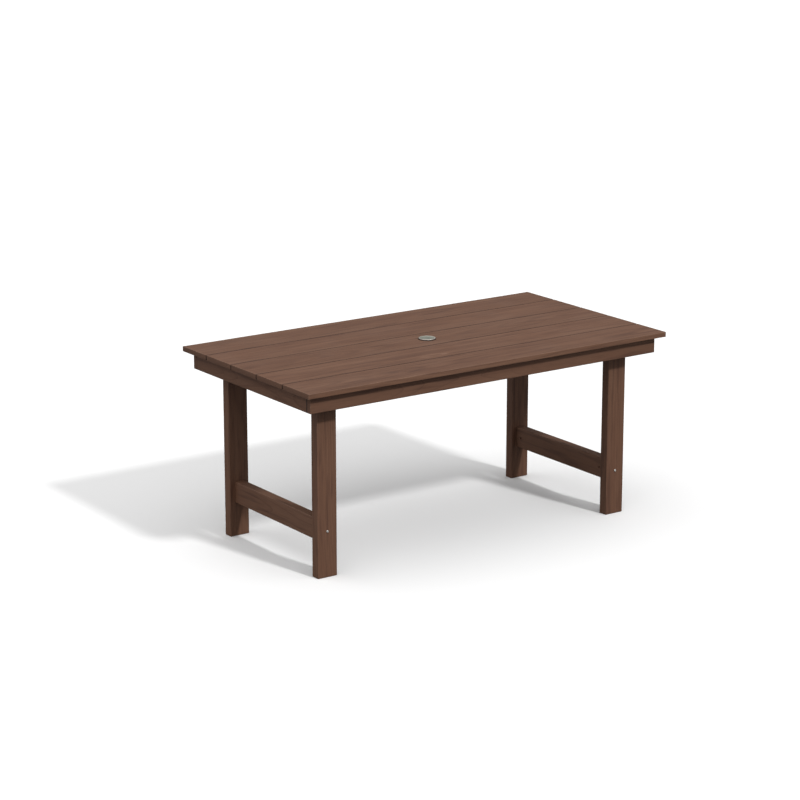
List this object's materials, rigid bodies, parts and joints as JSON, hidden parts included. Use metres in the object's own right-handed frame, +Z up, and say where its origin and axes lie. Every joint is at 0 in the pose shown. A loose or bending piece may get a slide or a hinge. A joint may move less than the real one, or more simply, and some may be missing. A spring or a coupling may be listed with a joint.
{
  "type": "outdoor dining table",
  "caption": "Rectangular outdoor dining table with slatted top boards, aprons, flat plank legs, end stretchers and a capped umbrella hole.",
  "frame": {"origin": "on the floor, under the middle of the table top", "axes": "+X along the table's length, +Y across it towards the back, +Z up"},
  "size_m": [1.655, 0.877, 0.7452],
  "materials": {
    "lumber": "matt extruded plastic lumber with a fine embossed grain",
    "stainless": "plain stainless fasteners",
    "ring_plastic": "dark moulded plastic",
    "cap_metal": "satin light metal"
  },
  "bodies": {
    "table": {"apron_back": "lumber", "apron_front": "lumber", "apron_left": "lumber", "apron_right": "lumber", "board_1": "lumber", "board_2": "lumber", "board_3": "lumber", "board_4": "lumber", "board_5": "lumber", "board_screws": "stainless", "cross_dowels": "stainless", "leg_back_left": "lumber", "leg_back_right": "lumber", "leg_bolts": "stainless", "leg_front_left": "lumber", "leg_front_right": "lumber", "leg_nuts": "stainless", "leg_washers": "stainless", "rail_left_inner": "lumber", "rail_left_outer": "lumber", "rail_middle_left": "lumber", "rail_middle_right": "lumber", "rail_right_inner": "lumber", "rail_right_outer": "lumber", "stretcher_bolts": "stainless", "stretcher_left": "lumber", "stretcher_right": "lumber", "umbrella_ring": "ring_plastic"},
    "cap": {"umbrella_cap": "cap_metal"}
  },
  "joints": [
    {"name": "cap_lift", "type": "slide", "parent": "table", "child": "cap", "axis": [0, 0, 1], "range_m": [0, 0.06]}
  ]
}
